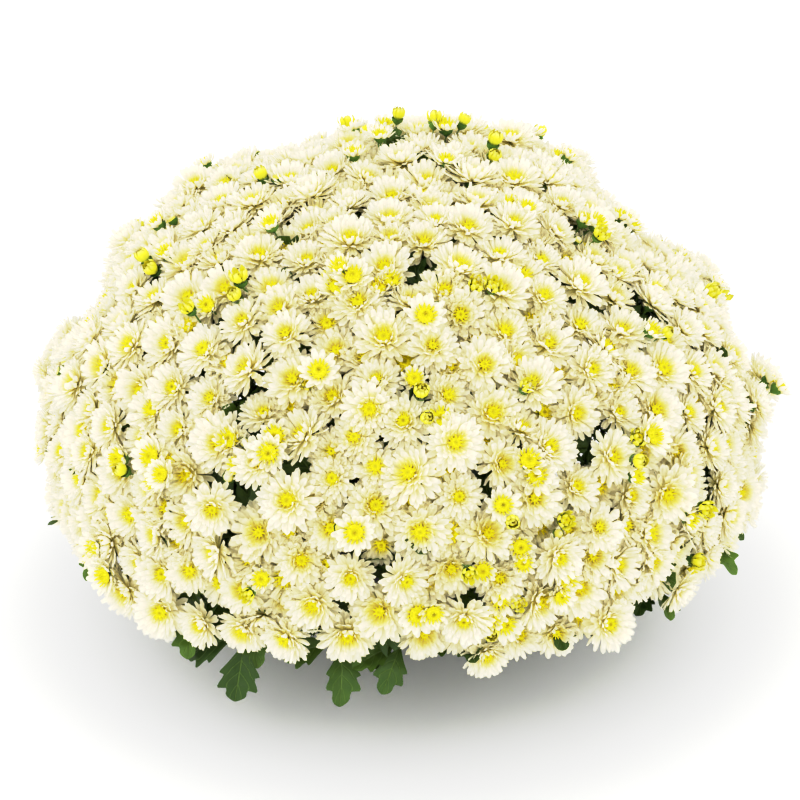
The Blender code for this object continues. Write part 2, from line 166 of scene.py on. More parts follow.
class Finish:
    """A material with its main shader, which makes its nodes by one method."""

    def __init__(self, name, roughness, **constants):
        self.material = bpy.data.materials.new(name)
        self.material.use_nodes = True
        self.tree = self.material.node_tree
        self.shader = self.tree.nodes["Principled BSDF"]
        self.shader.inputs["Roughness"].default_value = roughness
        for socket, value in constants.items():
            self.shader.inputs[socket.replace("_", " ")].default_value = value

    def node(self, kind, settings=None, inputs=None, output=0):
        """Makes a node: its settings first, then the values or links of its sockets."""
        made = self.tree.nodes.new(kind)
        for name, value in (settings or {}).items():
            if name == "stops":
                self.set_stops(made.color_ramp, value)
            else:
                setattr(made, name, value)
        for name, value in (inputs or {}).items():
            self.join(value, made.inputs[name])
        return Value(self, made.outputs[output])

    def set_stops(self, ramp, stops):
        while len(ramp.elements) < len(stops):
            ramp.elements.new(0.5)
        for element, (place, colour) in zip(ramp.elements, stops):
            element.position = place
            element.color = (*colour, 1.0)

    def join(self, value, socket):
        if isinstance(value, Value):
            self.tree.links.new(value.socket, socket)
        elif isinstance(value, tuple) and len(value) == 3 and socket.type == "RGBA":
            socket.default_value = (*value, 1.0)
        else:
            socket.default_value = value

    def attribute(self, name):
        return self.node("ShaderNodeAttribute", {"attribute_name": name}, output="Fac")

    def place(self):
        """Object coordinates, in metres."""
        return self.node("ShaderNodeTexCoord", output="Object")

    def parts(self, vector):
        """The three numbers of a vector."""
        node = self.tree.nodes.new("ShaderNodeSeparateXYZ")
        self.join(vector, node.inputs[0])
        return [Value(self, socket) for socket in node.outputs]

    def blade(self):
        """Across and along a blade, each from 0 to 1, from its own UV map."""
        across, along, _ = self.parts(self.node("ShaderNodeUVMap", {"uv_map": "UVMap"}))
        return across, along

    def noise(self, scale, detail=2.0, vector=None):
        inputs = {"Vector": vector or self.place(), "Scale": scale, "Detail": detail}
        return self.node("ShaderNodeTexNoise", {}, inputs)

    def ramp(self, value, *stops):
        return self.node("ShaderNodeValToRGB", {"stops": stops}, {0: value})

    def mix(self, share, first, second, blend="MIX"):
        settings = {"data_type": "RGBA", "blend_type": blend}
        return self.node("ShaderNodeMix", settings, {0: share, 6: first, 7: second}, output=2)

    def bump(self, height, depth, strength=1.0):
        inputs = {"Height": height, "Distance": depth, "Strength": strength}
        self.join(self.node("ShaderNodeBump", {}, inputs), self.shader.inputs["Normal"])

    def paint(self, socket, value):
        self.join(value, self.shader.inputs[socket])
        return self

    def let_light_through(self, share, colour):
        """Mixes in light that comes through from the other side, as in a thin petal."""
        through = self.node("ShaderNodeBsdfTranslucent", {}, {"Color": colour})
        mixed = self.node("ShaderNodeMixShader", {}, {0: share, 2: through})
        self.tree.links.new(self.shader.outputs[0], mixed.socket.node.inputs[1])
        self.tree.links.new(mixed.socket, self.tree.nodes["Material Output"].inputs["Surface"])


print("finishes can be written as sums")

# %% [markdown]
# ## Finishes of the flowers
# A petal here is ivory: greenish yellow where it leaves the eye, cream further out and nearly
# white at its rounded tip, with fine veins running its length, and painted shade darkens the
# middle of its channel. It is thin enough that light comes through. The pattern follows the
# blade, so it reads the blade's UV map, and each flower gets its own tone from an attribute,
# because no two daisies are the same age.

# %% Petals, eyes and buds
petal_finish = Finish("ivory petals", 0.58, Specular_IOR_Level=0.25)
across, along = petal_finish.blade()
tone = petal_finish.attribute("tone")
youth = petal_finish.attribute("outward")
veins = (across * 20.0).wave() * 0.5 + 0.5
from_fold = (across - 0.5).size() * 2.0
opened = along - youth * (tone * 0.26 + 0.14)
length_colour = petal_finish.ramp(opened, (0.0, (0.95, 0.83, 0.04)), (0.12, (0.972, 0.905, 0.32)),
                                  (0.34, (0.989, 0.950, 0.765)), (0.70, (0.989, 0.952, 0.79)))
aged = petal_finish.mix(tone * 0.26, length_colour, (0.984, 0.936, 0.690))
blotches = petal_finish.noise(90.0, 2.0).between(0.45, 0.75)
shaded = petal_finish.mix(blotches * 0.08, aged, (0.94, 0.89, 0.60))
# Painted shade: tan darkening along the middle of the petal's channel, fading out before the tip.
painted_channel_shade = (1.0 - from_fold.between(0.0, 0.55)) * (1.0 - along.between(0.55, 0.95))
channel_shaded = petal_finish.mix(painted_channel_shade * 0.22, shaded, (0.94, 0.89, 0.60))
petal_finish.paint("Base Color", petal_finish.mix(veins * 0.05, channel_shaded, (0.84, 0.80, 0.52)))
petal_finish.bump(from_fold * 2.4 + veins * 0.3 + petal_finish.noise(420.0), 0.00025, 0.8)
petal_finish.let_light_through(0.40, (0.989, 0.959, 0.80))

eye_finish = Finish("yellow florets", 0.60, Specular_IOR_Level=0.25)
outward = eye_finish.attribute("outward")
age = eye_finish.attribute("tone")
grains = eye_finish.noise(800.0, 1.0).between(0.40, 0.60)
eye_colour = eye_finish.ramp(outward, (0.0, (0.15, 0.17, 0.015)), (0.28, (0.50, 0.44, 0.01)),
                             (0.50, (0.95, 0.86, 0.006)), (1.0, (0.98, 0.94, 0.06)))
riper = eye_finish.mix(age * 0.35, eye_colour, (0.92, 0.76, 0.010))
eye_finish.paint("Base Color", eye_finish.mix(grains * 0.38, riper, (0.68, 0.54, 0.004)))
eye_finish.bump(grains, 0.0004)

bud_finish = Finish("opening bud petals", 0.55, Specular_IOR_Level=0.30)
across, along = bud_finish.blade()
bud_colour = bud_finish.ramp(along, (0.0, (0.34, 0.45, 0.05)), (0.30, (0.80, 0.78, 0.06)),
                             (0.60, (0.95, 0.88, 0.03)), (1.0, (0.97, 0.93, 0.25)))
lines = (across * 26.0).wave() * 0.5 + 0.5
bud_finish.paint("Base Color", bud_finish.mix(lines * 0.15, bud_colour, (0.80, 0.70, 0.12)))
bud_finish.bump(lines, 0.0002)

green_finish = Finish("green calyx and stalks", 0.52, Specular_IOR_Level=0.35)
flecks = green_finish.noise(260.0, 2.0)
paler = green_finish.noise(40.0, 1.0).between(0.4, 0.7)
green = green_finish.mix(paler, (0.085, 0.190, 0.030), (0.190, 0.330, 0.070))
green_finish.paint("Base Color", green_finish.mix(flecks * 0.35, green, (0.05, 0.12, 0.02)))
green_finish.bump(flecks, 0.0003)
print("flower finishes:", [f.material.name for f in (petal_finish, eye_finish, bud_finish, green_finish)])

# %% [markdown]
# ## Finishes of leaves, stems, pot and soil
# The leaves are matt mid green above, with a paler midrib and side veins that slant towards
# the lobes. Old stems turn brown near the soil. The pot is the plain black plastic of any
# nursery, with the dull, faintly rippled skin of a moulding, and the soil is dark peat.

# %% Leaves, stems, pot and soil
leaf_finish = Finish("chrysanthemum leaf", 0.50, Specular_IOR_Level=0.38)
across, along = leaf_finish.blade()
tone = leaf_finish.attribute("tone")
from_rib = (across - 0.5).size() * 2.0
rib = 1.0 - from_rib.between(0.0, 0.07)
slanted = ((along - from_rib * 0.30) * 27.0).wave()
side_veins = slanted.between(0.86, 1.0) * (1.0 - from_rib.between(0.75, 1.0))
mottle = leaf_finish.noise(85.0, 3.0).between(0.35, 0.70)
blade = leaf_finish.mix(tone, (0.031, 0.072, 0.009), (0.120, 0.208, 0.024))
mottled = leaf_finish.mix(mottle * 0.45, blade, (0.038, 0.087, 0.012))
ribbed = rib.maths("MAXIMUM", side_veins * 0.55)
leaf_finish.paint("Base Color", leaf_finish.mix(ribbed * 0.50, mottled, (0.20, 0.29, 0.07)))
leaf_finish.paint("Roughness", mottle * 0.12 + 0.44)
leaf_finish.bump(mottle * 0.4 - ribbed, 0.0006, 0.8)

stem_finish = Finish("plant stems", 0.62, Specular_IOR_Level=0.30)
_, _, level = stem_finish.parts(stem_finish.place())
bark = stem_finish.noise(180.0, 4.0)
low_down = 1.0 - level.between(0.135, 0.190)
stem_green = stem_finish.mix(bark, (0.060, 0.140, 0.024), (0.125, 0.220, 0.050))
stem_finish.paint("Base Color", stem_finish.mix(low_down * 0.9, stem_green, (0.120, 0.075, 0.036)))
stem_finish.bump(bark, 0.0006)

pot_finish = Finish("black moulded plastic", 0.42)
_, _, level = pot_finish.parts(pot_finish.place())
ripple = (level * 900.0).wave() * 0.5 + 0.5
skin = pot_finish.noise(320.0, 3.0)
dust = pot_finish.noise(24.0, 4.0).between(0.45, 0.80) * (1.0 - level.between(0.0, 0.06))
scuffed = pot_finish.mix(skin * 0.5, (0.020, 0.021, 0.024), (0.036, 0.037, 0.041))
pot_finish.paint("Base Color", pot_finish.mix(dust * 0.35, scuffed, (0.16, 0.14, 0.12)))
pot_finish.paint("Roughness", skin * 0.22 + 0.32)
pot_finish.bump(skin + ripple * 0.25, 0.00025)

soil_finish = Finish("potting soil", 0.93, Specular_IOR_Level=0.20)
coarse = soil_finish.noise(120.0, 5.0)
fibres = soil_finish.noise(480.0, 3.0).between(0.5, 0.8)
peat = soil_finish.mix(coarse, (0.018, 0.011, 0.007), (0.075, 0.048, 0.028))
soil_finish.paint("Base Color", soil_finish.mix(fibres * 0.5, peat, (0.120, 0.082, 0.050)))
soil_finish.bump(coarse + fibres * 0.3, 0.0015)

grit_finish = Finish("perlite grains", 0.85, Specular_IOR_Level=0.25)
pits = grit_finish.noise(700.0, 3.0)
grit_finish.paint("Base Color", grit_finish.mix(pits, (0.80, 0.79, 0.75), (0.52, 0.50, 0.45)))
grit_finish.bump(pits, 0.0004)

floor_finish = Finish("pale studio floor", 0.90, Specular_IOR_Level=0.10)
sweep = floor_finish.noise(2.0, 1.0)
floor_finish.paint("Base Color", floor_finish.mix(sweep, (0.955, 0.955, 0.955), (0.965, 0.965, 0.965)))
floor.data.materials.append(floor_finish.material)
print("finishes made:", len(bpy.data.materials))

# %% [markdown]
# ## Working by hand, in code
# Every piece below starts as one of Blender's primitives and is shaped in edit mode. Only what
# is selected moves, so three small helpers do what the mouse would: clear the selection, pick
# points by their place, and move the picked points. Copies get a mesh of their own, and
# joined copies are left at the origin, with their place in the mesh.

# %% Helpers for picking, moving, copying and joining


def clear_selection():
    bpy.ops.object.select_all(action="DESELECT")


def start_editing(thing):
    clear_selection()
    thing.select_set(True)
    bpy.context.view_layer.objects.active = thing
    bpy.ops.object.mode_set(mode="EDIT")
    bpy.context.tool_settings.mesh_select_mode = (True, False, False)


def stop_editing():
    bpy.ops.object.mode_set(mode="OBJECT")


def pick(thing, test):
    """Selects the points whose place passes a test."""
    shape = bmesh.from_edit_mesh(thing.data)
    for point in shape.verts:
        point.select = False
    shape.select_flush(False)
    for point in shape.verts:
        point.select = bool(test(point.co))
    shape.select_flush_mode()
    bmesh.update_edit_mesh(thing.data)


def set_finish(thing, *finishes):
    thing.data.materials.clear()
    for finish in finishes:
        thing.data.materials.append(finish.material)
    return thing


def settle(thing, name):
    """Puts an object's place into its mesh and gives it its name."""
    clear_selection()
    thing.select_set(True)
    bpy.context.view_layer.objects.active = thing
    bpy.ops.object.transform_apply(location=True, rotation=True, scale=True)
    thing.name = name
    thing.data.name = name
    return thing


def copy_of(thing, place):
    """A copy with its own mesh, put where a matrix says."""
    made = thing.copy()
    made.data = thing.data.copy()
    made.matrix_world = place @ thing.matrix_world
    bpy.context.collection.objects.link(made)
    return made


def joined(things, name):
    clear_selection()
    for thing in things:
        thing.select_set(True)
    bpy.context.view_layer.objects.active = things[0]
    if len(things) > 1:
        bpy.ops.object.join()
    return settle(bpy.context.view_layer.objects.active, name)


def put_away(*things):
    """Patterns are deleted once their copies are made."""
    for thing in things:
        bpy.data.objects.remove(thing)


def note(thing, name, values):
    """Writes a number for each point, which a finish can read."""
    mesh = thing.data
    found = mesh.attributes.get(name) or mesh.attributes.new(name, "FLOAT", "POINT")
    filled = np.broadcast_to(np.asarray(values, np.float32), len(mesh.vertices))
    found.data.foreach_set("value", np.ascontiguousarray(filled))


def turn(axis, degrees):
    return Matrix.Rotation(math.radians(degrees), 4, axis)


def shift(x, y, z):
    return Matrix.Translation((x, y, z))


def count_triangles(things):
    return sum(len(face.vertices) - 2 for thing in things for face in thing.data.polygons)


print("helpers ready")

# %% [markdown]
# ## One petal
# A petal is a narrow strap, folded a little along its middle and rounded like a spoon at the
# tip. A flat grid with two columns is enough: each cross row is picked, drawn in to its width
# and lifted to its height, and then the middle point is pressed down to make the channel.
# There will be tens of thousands of petals, so each has only a few faces.

# %% Shape the petals


def make_blade(name, rows, columns, finish):
    """Grid along +Y with cross rows (along, half width, height[, channel[, forward]]), in mm."""
    bpy.ops.mesh.primitive_grid_add(x_subdivisions=columns, y_subdivisions=len(rows) - 1, size=1.0,
                                    location=(0.0, 0.0, 0.0))
    blade = bpy.context.object
    start_editing(blade)
    last = len(rows) - 1
    for number in range(last, -1, -1):
        row = (*rows[number], 0.0, 0.0)[:5]
        reach, half_width, height, channel, forward = (0.001 * value for value in row)
        level = number / last - 0.5
        pick(blade, lambda co: co.z == 0.0 and abs(co.y - level) < 0.01)
        bpy.ops.transform.resize(value=(2 * half_width, 1.0, 1.0))
        bpy.ops.transform.translate(value=(0.0, reach - level, height + 0.00001))
        middle = height + 0.00001
        pick(blade, lambda co: abs(co.y - reach) < 1e-5 and abs(co.z - middle) < 1e-6
             and abs(co.x) < 0.26 * half_width)
        bpy.ops.transform.translate(value=(0.0, 0.0, -channel))
        for share, push in ((0.9, 0.7), (0.2, 0.3)) if forward else ():
            pick(blade, lambda co: abs(co.z - middle) < 1e-6 and abs(co.x) > share * half_width
                 and abs(co.y - reach) < 1e-5 + abs(forward))
            bpy.ops.transform.translate(value=(0.0, push * forward, 0.0))
    stop_editing()
    bpy.ops.object.shade_smooth()
    blade.name = name
    return set_finish(blade, finish)


outer_petal = make_blade("outer_petal", ((0, 0.55, 0, 0.1), (13.2, 1.88, 1.9, 0.8), (16.9, 1.36, 2.9, 0.2, -1.3)),
                         2, petal_finish)
arched_petal = make_blade("arched_petal", ((0, 0.5, 0), (6.8, 1.15, 0.6), (12.0, 1.66, 2.2),
                                           (14.6, 1.08, 4.3)), 1, petal_finish)
inner_petal = make_blade("inner_petal", ((0, 0.45, 0), (5.4, 1.00, 0.4), (9.4, 1.36, 1.8),
                                         (11.4, 0.88, 3.7)), 1, petal_finish)
short_petal = make_blade("short_petal", ((0, 0.4, 0), (4.8, 0.85, 0.5), (7.6, 0.5, 2.0)), 1, petal_finish)
ray_petal = make_blade("ray_petal", ((0, 0.8, 0, 0.1), (4.0, 1.50, 0.5, 0.6), (6.8, 0.9, 1.6, 0.1, -0.6)),
                       2, petal_finish)
eye_petal = make_blade("eye_petal", ((0, 0.35, 0, 0), (2.4, 0.60, 0.3, 0), (4.2, 0.25, 1.1, 0)),
                       1, eye_finish)
bud_petal = make_blade("bud_petal", ((0, 1.2, 0, 0.3), (3.4, 2.0, 0.3, 0.8), (6.2, 1.6, 1.6, 0.8),
                                     (7.8, 0.8, 3.4, 0.2, -0.6)), 2, bud_finish)
petals = (outer_petal, arched_petal, inner_petal, short_petal, ray_petal, eye_petal, bud_petal)
print("petal faces:", {petal.name: len(petal.data.polygons) for petal in petals})

# %% [markdown]
# ## Eyes and calyxes
# The yellow eye of a daisy is a low cushion of tiny tube flowers. From a step away only its
# dome, its grain and its dark middle show, so it is the upper part of a small sphere, pressed
# flat, and the finish adds the grain. The green calyx under the flower is a short cup on the
# stalk. It starts as a cone, and a ring cut round its middle is widened to round its shoulder.

# %% Shape the eye, the calyx and the closed bud


def make_eye(name, radius, rise, segments, rings):
    """Upper part of a sphere, pressed flat, with its distance from the middle noted."""
    bpy.ops.mesh.primitive_uv_sphere_add(segments=segments, ring_count=rings, radius=radius)
    eye = bpy.context.object
    start_editing(eye)
    pick(eye, lambda co: co.z < -0.01 * radius)
    bpy.ops.mesh.delete(type="VERT")
    pick(eye, lambda co: True)
    bpy.ops.transform.resize(value=(1.0, 1.0, rise / radius))
    pick(eye, lambda co: co.xy.length < 0.2 * radius)
    bpy.ops.transform.translate(value=(0.0, 0.0, -0.30 * rise))
    stop_editing()
    bpy.ops.object.shade_smooth()
    eye.name = name
    place = np.array([point.co for point in eye.data.vertices])
    note(eye, "outward", np.hypot(place[:, 0], place[:, 1]) / radius * 0.9)
    return set_finish(eye, eye_finish)


def make_calyx(name, radius, height, sides):
    """Cup that narrows to the stalk, with its rounded shoulder just under the petals."""
    bpy.ops.mesh.primitive_cone_add(vertices=sides, radius1=0.0009, radius2=radius, depth=height,
                                    end_fill_type="NOTHING", location=(0.0, 0.0, -0.5 * height))
    calyx = bpy.context.object
    bpy.ops.object.transform_apply(location=True)
    start_editing(calyx)
    pick(calyx, lambda co: True)
    bpy.ops.mesh.bisect(plane_co=(0.0, 0.0, -0.5 * height), plane_no=(0.0, 0.0, 1.0))
    pick(calyx, lambda co: -0.75 * height < co.z < -0.25 * height)
    bpy.ops.transform.resize(value=(1.45, 1.45, 1.0))
    stop_editing()
    bpy.ops.object.shade_smooth()
    calyx.name = name
    return set_finish(calyx, green_finish)


def make_closed_bud(name, radius):
    """Round bud: a small ball whose top is drawn together where the petals meet."""
    bpy.ops.mesh.primitive_uv_sphere_add(segments=8, ring_count=6, radius=radius,
                                         location=(0.0, 0.0, 0.75 * radius))
    bud = bpy.context.object
    bpy.ops.object.transform_apply(location=True)
    start_editing(bud)
    pick(bud, lambda co: co.z > 1.7 * radius)
    bpy.ops.transform.translate(value=(0.0, 0.0, -0.30 * radius))
    stop_editing()
    bpy.ops.object.shade_smooth()
    bud.name = name
    return set_finish(bud, petal_finish)


bloom_eye = make_eye("bloom_eye", 0.0029, 0.0018, 8, 6)
young_eye = make_eye("young_eye", 0.0046, 0.0026, 10, 8)
bloom_calyx = make_calyx("bloom_calyx", 0.0042, 0.0060, 6)
young_calyx = make_calyx("young_calyx", 0.0050, 0.0062, 8)
closed_bud = make_closed_bud("closed_bud", 0.0036)
print("eye faces:", len(bloom_eye.data.polygons), len(young_eye.data.polygons))

# %% [markdown]
# ## Open flowers
# This kind is semi-double: the outermost petals lie flat or droop, and each ring inside is
# shorter and stands steeper, up to the eye. A bloom is therefore a list of rings, and each
# ring is one petal copied round. A few patterns with other counts and openness are enough,
# since every copy is later turned, leaned and sized on its own.

# %% Build the patterns of the open flowers
rng = np.random.default_rng(11)


def petal_ring(petal, count, radius, height, lift, size, looseness=1.0):
    """Copies of one petal round the axis, each a little off its place."""
    first = rng.uniform(0.0, 360.0)
    ring = []
    for k in range(count):
        around = first + 360.0 * k / count + rng.normal(0.0, 3.5 * looseness)
        pitch = lift + rng.normal(0.0, 4.5 * looseness)
        twist = rng.normal(0.0, 9.0 * looseness)
        scale = size * rng.uniform(0.90, 1.06)
        place = turn("Z", around) @ shift(0.0, radius, height) @ turn("X", pitch) @ turn("Y", twist)
        ring.append(copy_of(petal, place @ Matrix.Scale(scale, 4)))
    return ring


def make_eye_ring(count, radius, height, lift, size):
    """Small yellow florets round the eye, each a little deeper in colour at its foot."""
    ring = petal_ring(eye_petal, count, radius, height, lift, size)
    for petal in ring:
        note(petal, "outward", [0.42 + 110.0 * point.co.y for point in petal.data.vertices])
    return ring


def add_notes(thing):
    for name in ("outward", "tone"):
        if name not in thing.data.attributes:
            note(thing, name, 0.0)


def make_bloom(name, openness, counts, eye_size, yellow):
    """An open flower with its origin where the petals leave the calyx."""
    closed = 11.0 * (1.0 - openness)
    rings = ((outer_petal, 0.0018, 0.0000, -6.0, 1.0, 1.04, 0.0), (outer_petal, 0.0016, 0.0008, 6.0, 1.1, 0.98, 0.1),
             (arched_petal, 0.0015, 0.0014, 15.0, 1.3, 0.99, 0.4), (inner_petal, 0.0017, 0.0018, 27.0, 1.4, 1.03, 0.8),
             (inner_petal, 0.0021, 0.0020, 37.0, 1.2, 0.80, 1.2), (short_petal, 0.0024, 0.0020, 44.0, 0.9, 0.85, 1.8))
    pieces = []
    for count, (petal, radius, height, lift, closing, size, youth) in zip(counts, rings):
        ring = petal_ring(petal, count, radius, height, lift + closing * closed, size, 1.2)
        for petal in ring:
            note(petal, "outward", max(0.0, youth + rng.normal(0.0, 0.12)))
        pieces += ring
    pieces += make_eye_ring(yellow, 0.0014 * eye_size, 0.0036, 14.0, 0.84 * eye_size)
    pieces += make_eye_ring(yellow - 3, 0.0012 * eye_size, 0.0044, 40.0, 0.68 * eye_size)
    pieces.append(copy_of(bloom_eye, shift(0.0, 0.0, 0.0032) @ Matrix.Scale(eye_size, 4)))
    pieces.append(copy_of(bloom_calyx, Matrix.Identity(4)))
    for piece in pieces:
        add_notes(piece)
    return joined(pieces, name)


full_blooms = [make_bloom(f"full_bloom_{k}", openness, counts, eye_size, yellow)
               for k, (openness, counts, eye_size, yellow) in enumerate((
                   (1.00, (24, 24, 22, 19, 15, 10), 1.15, 12), (0.60, (24, 23, 22, 20, 17, 12), 1.00, 11),
                   (0.15, (24, 23, 21, 18, 14, 9), 1.30, 13), (0.80, (25, 24, 23, 21, 18, 12), 0.90, 10)))]
plain_blooms = [make_bloom(f"plain_bloom_{k}", openness, counts, eye_size, yellow)
                for k, (openness, counts, eye_size, yellow) in enumerate((
                    (0.90, (22, 21, 18, 14, 10, 0), 1.35, 12), (0.45, (22, 21, 18, 14, 10, 8), 1.30, 12),
                    (0.00, (21, 20, 17, 13, 9, 8), 1.45, 13), (1.00, (22, 21, 17, 12, 0, 0), 1.60, 14)))]
print("triangles of the blooms:", [count_triangles([b]) for b in full_blooms + plain_blooms])

# %% [markdown]
# ## Young flowers and buds
# Between the open flowers sit younger ones. First the yellow eye fills the whole calyx, with
# a ring of short cream petals standing round it. Earlier still the petals are a closed yellow
# cup, and the youngest are green and cream balls on thin stalks.

# %% Build the patterns of the young flowers


def make_young_bloom(name, petal_count, lift, size):
    """Half open flower: a big eye with short petals standing round it."""
    pieces = petal_ring(ray_petal, petal_count, 0.0040, 0.0006, lift, size)
    pieces += petal_ring(ray_petal, petal_count - 2, 0.0040, 0.0000, lift - 18.0, size * 1.15)
    pieces += make_eye_ring(14, 0.0036, 0.0010, 36.0, 1.10)
    pieces += make_eye_ring(11, 0.0026, 0.0018, 54.0, 1.00)
    pieces += make_eye_ring(7, 0.0014, 0.0024, 70.0, 0.80)
    pieces.append(copy_of(young_eye, shift(0.0, 0.0, 0.0008)))
    pieces.append(copy_of(young_calyx, shift(0.0, 0.0, 0.0008)))
    for piece in pieces:
        add_notes(piece)
    return joined(pieces, name)


def make_opening_bud(name, petal_count, lift):
    """Cup of yellow petals that still lean together."""
    pieces = petal_ring(bud_petal, petal_count, 0.0024, -0.0004, lift, 1.0, 0.6)
    pieces += petal_ring(bud_petal, petal_count - 2, 0.0016, 0.0006, lift + 10.0, 0.8, 0.6)
    pieces.append(copy_of(bloom_eye, shift(0.0, 0.0, 0.0022)))
    pieces.append(copy_of(young_calyx, Matrix.Scale(0.85, 4)))
    for piece in pieces:
        add_notes(piece)
    return joined(pieces, name)


def make_round_bud(name):
    pieces = [copy_of(closed_bud, Matrix.Identity(4))]
    note(pieces[0], "outward", 3.4)
    pieces.append(copy_of(young_calyx, shift(0.0, 0.0, 0.0034) @ Matrix.Scale(0.92, 4)))
    for piece in pieces:
        add_notes(piece)
    return joined(pieces, name)


young_blooms = [make_young_bloom("young_bloom_0", 11, 50.0, 1.0),
                make_young_bloom("young_bloom_1", 13, 34.0, 1.25)]
opening_buds = [make_opening_bud("opening_bud_0", 8, 62.0), make_opening_bud("opening_bud_1", 7, 48.0)]
round_bud = make_round_bud("round_bud")
young = young_blooms + opening_buds + [round_bud]
print("triangles of the young flowers:", [count_triangles([b]) for b in young])

# %% [markdown]
# ## Where the flowers sit
# The flowers close into a spheroid, cut off below at the edge of the plant. The CAD model
# holds the outermost five hundred, spread evenly and pushed apart until no two meet, so the
# same rule with the same seed finds them here again. The real plant has as many again between
# and under these, and they go where the gaps are widest.

# %% The dome, and the five hundred heads of the CAD model
DOME_RADIUS = 0.300
DOME_RISE = 0.252
DOME_MIDDLE_Z = 0.150
CORE_EDGE_Z = 0.112
LOWEST_HEAD_Z = 0.121
OPEN_HEADS = 434
YOUNG_HEADS = 66
OPEN_RADIUS = (0.0164, 0.0200)
YOUNG_RADIUS = (0.0068, 0.0084)
HEAD_CLEARANCE = 0.0012
SPREAD_ROUNDS = 90
SPREAD_SHARE = 0.4
RING_SPRAYS = (1, 5, 10, 10)
EDGE_MARGIN_ABOVE = 0.0095
EDGE_MARGIN = 0.0070
CORE_MIDDLE_DEPTH = 0.0300
SEED = 27
LOWEST_HEIGHT = (LOWEST_HEAD_Z - DOME_MIDDLE_Z) / DOME_RISE


def dome_point(height, around, depth):
    """Point below the petal tips: height is the sine of the latitude."""
    level = math.sqrt(max(0.0, 1.0 - height * height))
    reach = (DOME_RADIUS - depth) * level
    up = DOME_MIDDLE_Z + (DOME_RISE - depth) * height
    return Vector((reach * math.cos(around), reach * math.sin(around), up))


def dome_frame(height, around):
    """Outward direction there, with two directions along the surface."""
    level = math.sqrt(max(0.0, 1.0 - height * height))
    out = Vector((level * math.cos(around) / DOME_RADIUS, level * math.sin(around) / DOME_RADIUS,
                  height / DOME_RISE)).normalized()
    east = Vector((-math.sin(around), math.cos(around), 0.0))
    return out, east, out.cross(east)


def ring_edges():
    """Heights of the lines between the rings of sprays."""
    lowest = (CORE_EDGE_Z - DOME_MIDDLE_Z) / DOME_RISE
    edges = [1.0]
    for count in RING_SPRAYS:
        edges.append(edges[-1] - (1.0 - lowest) * count / sum(RING_SPRAYS))
    return edges


def start_sites(count):
    """Golden-angle spiral over the dome, as unit directions."""
    golden = math.pi * (3.0 - math.sqrt(5.0))
    order = np.arange(count)
    height = 1.0 - (1.0 - LOWEST_HEIGHT) * (order + 0.5) / count
    level = np.sqrt(1.0 - height ** 2)
    return np.stack([level * np.cos(golden * order), level * np.sin(golden * order), height], 1)


def clear_of_edges(units):
    """Moves heads off the lines between the sprays."""
    latitude = np.arcsin(np.clip(units[:, 2], LOWEST_HEIGHT, 1.0))
    around = np.arctan2(units[:, 1], units[:, 0]) % math.tau
    edges = ring_edges()
    above = EDGE_MARGIN_ABOVE / DOME_RADIUS
    below = EDGE_MARGIN / DOME_RADIUS
    for edge in np.arcsin(edges[1:-1]):
        from_edge = latitude - edge
        latitude = np.where((from_edge >= 0) & (from_edge < above), edge + above, latitude)
        latitude = np.where((from_edge < 0) & (from_edge > -below), edge - below, latitude)
    height = np.sin(latitude)
    for ring, count in enumerate(RING_SPRAYS):
        if count > 1:
            inside = (height < edges[ring]) & (height >= edges[ring + 1])
            step = math.tau / count
            margin = EDGE_MARGIN / (DOME_RADIUS * np.cos(latitude))
            within = np.clip(around % step, margin, step - margin)
            around = np.where(inside, around // step * step + within, around)
    level = np.cos(latitude)
    return np.stack([level * np.cos(around), level * np.sin(around), height], 1)


SPHEROID = np.array([DOME_RADIUS, DOME_RADIUS, DOME_RISE])


def spread(units, radii):
    """Pushes heads apart until their rims clear one another."""
    wanted = radii[:, None] + radii[None, :] + HEAD_CLEARANCE
    np.fill_diagonal(wanted, 0.0)
    for _ in range(SPREAD_ROUNDS):
        places = units * SPHEROID
        apart = places[:, None, :] - places[None, :, :]
        distance = np.linalg.norm(apart, axis=2) + np.eye(len(units))
        short = np.clip(wanted - distance, 0.0, None)
        push = (apart / distance[:, :, None] * short[:, :, None]).sum(axis=1) * SPREAD_SHARE
        moved = (places + push) / SPHEROID
        units = clear_of_edges(moved / np.linalg.norm(moved, axis=1)[:, None])
    return units


def cad_heads():
    """Directions of the CAD model's heads, and which of them are young."""
    draw = np.random.default_rng(SEED)
    count = OPEN_HEADS + YOUNG_HEADS
    is_young = np.zeros(count, bool)
    is_young[draw.choice(count, YOUNG_HEADS, replace=False)] = True
    radii = np.where(is_young, draw.uniform(*YOUNG_RADIUS, count), draw.uniform(*OPEN_RADIUS, count))
    return spread(start_sites(count), radii), is_young


units, is_young = cad_heads()
print("heads of the CAD model:", len(units), "of them young:", int(is_young.sum()))

# %% [markdown]
# ## The flowers between
# Each further flower goes to the spot that is farthest from the rims of all that are there,
# found among nine thousand spots on the dome. When the open flowers are placed, the gaps that
# are left take the young ones, in pairs, and each young head of the CAD model gets a partner.

# %% Fill the gaps
FILL_OPEN = 392
FILL_YOUNG_PAIRS = 58


def fill_gaps(units, rims, count, rim):
    """Adds directions one by one, each where the nearest rim is farthest away."""
    spots = start_sites(9000)
    places = spots * SPHEROID
    room = np.full(len(spots), np.inf)
    for unit, own_rim in zip(units, rims):
        room = np.minimum(room, np.linalg.norm(places - unit * SPHEROID, axis=1) - own_rim)
    added = []
    for _ in range(count):
        best = int(np.argmax(room))
        added.append(spots[best])
        room = np.minimum(room, np.linalg.norm(places - places[best], axis=1) - rim)
    return np.array(added)


